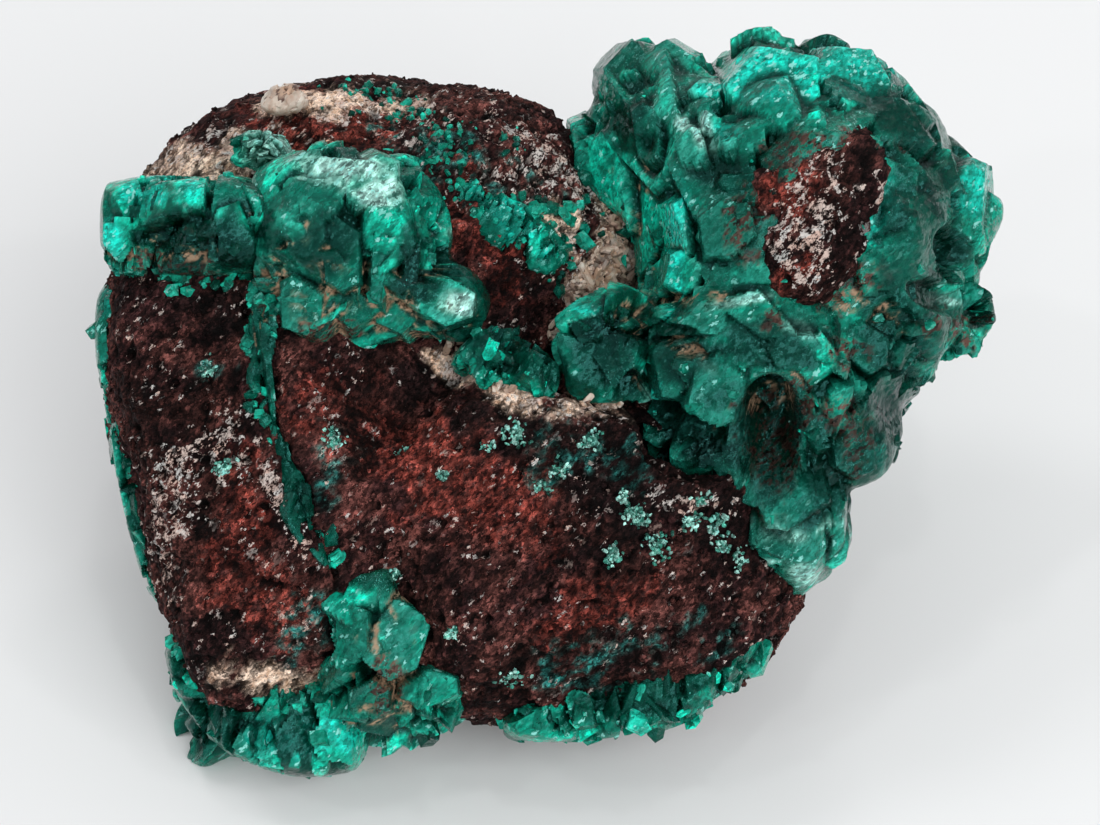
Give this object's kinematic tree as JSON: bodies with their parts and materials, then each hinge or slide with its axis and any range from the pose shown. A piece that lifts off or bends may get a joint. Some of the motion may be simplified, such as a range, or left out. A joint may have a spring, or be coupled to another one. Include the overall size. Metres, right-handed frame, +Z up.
{
  "type": "dioptase mineral specimen",
  "caption": "Broken hand specimen of green dioptase crystals on red-brown host rock, resting on a flat broken patch.",
  "frame": {"origin": "middle of the flat broken patch that the stone rests on", "axes": "+Z up, +X to the right of the broken face that shows the crystals, -Y the way that face looks"},
  "size_m": [0.0608, 0.0447, 0.0373],
  "materials": {
    "host_rock": "matte",
    "dioptase": "gloss",
    "quartz": "satin"
  },
  "bodies": {
    "root": {"rock_left": "host_rock", "rock_front": "host_rock", "rock_dome": "host_rock", "rock_patch": "host_rock", "rim_crystals": "dioptase", "foot_crystals": "dioptase", "right_crystals": "dioptase", "leg_crystal": "dioptase", "valley_block": "dioptase", "left_skin": "dioptase", "vein_crystals": "dioptase", "base_left_crystals": "dioptase", "base_right_crystals": "dioptase", "valley_crystals": "dioptase", "dome_streak": "dioptase", "dome_chip": "dioptase", "dome_quartz": "quartz"}
  },
  "joints": []
}
